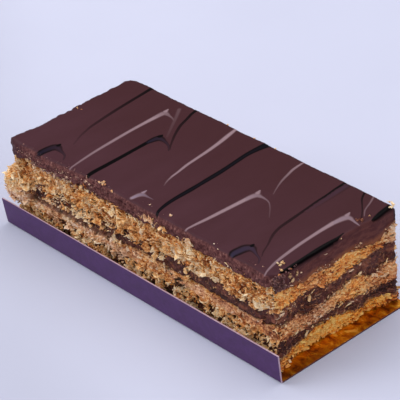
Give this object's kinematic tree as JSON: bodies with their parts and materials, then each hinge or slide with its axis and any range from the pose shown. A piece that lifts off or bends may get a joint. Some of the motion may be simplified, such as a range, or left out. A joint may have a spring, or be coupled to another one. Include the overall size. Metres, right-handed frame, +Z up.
{
  "type": "chocolate mille-feuille",
  "caption": "Cut bar of flaky pastry sheets and chocolate cream under a marbled chocolate glaze, on its own folded card.",
  "frame": {"origin": "middle of the whole footprint on the table, at the underside of the card", "axes": "+X along the bar towards the cut end that the picture shows, +Y away from the card's folded flap towards the back, +Z up"},
  "size_m": [0.1306, 0.0544, 0.036],
  "materials": {
    "card": "purple matt paperboard with a pale cut edge",
    "card_foil": "gold foil lamination on the card's inside",
    "pastry": "baked flaky pastry, dry and matt",
    "cream": "dark chocolate cream, moist",
    "glaze": "satin chocolate glaze with dark and light marbling"
  },
  "bodies": {
    "root": {"card": "card", "pastry_bottom": "pastry", "cream_lower": "cream", "pastry_middle": "pastry", "cream_upper": "cream", "pastry_top": "pastry", "glaze": "glaze"}
  },
  "joints": []
}
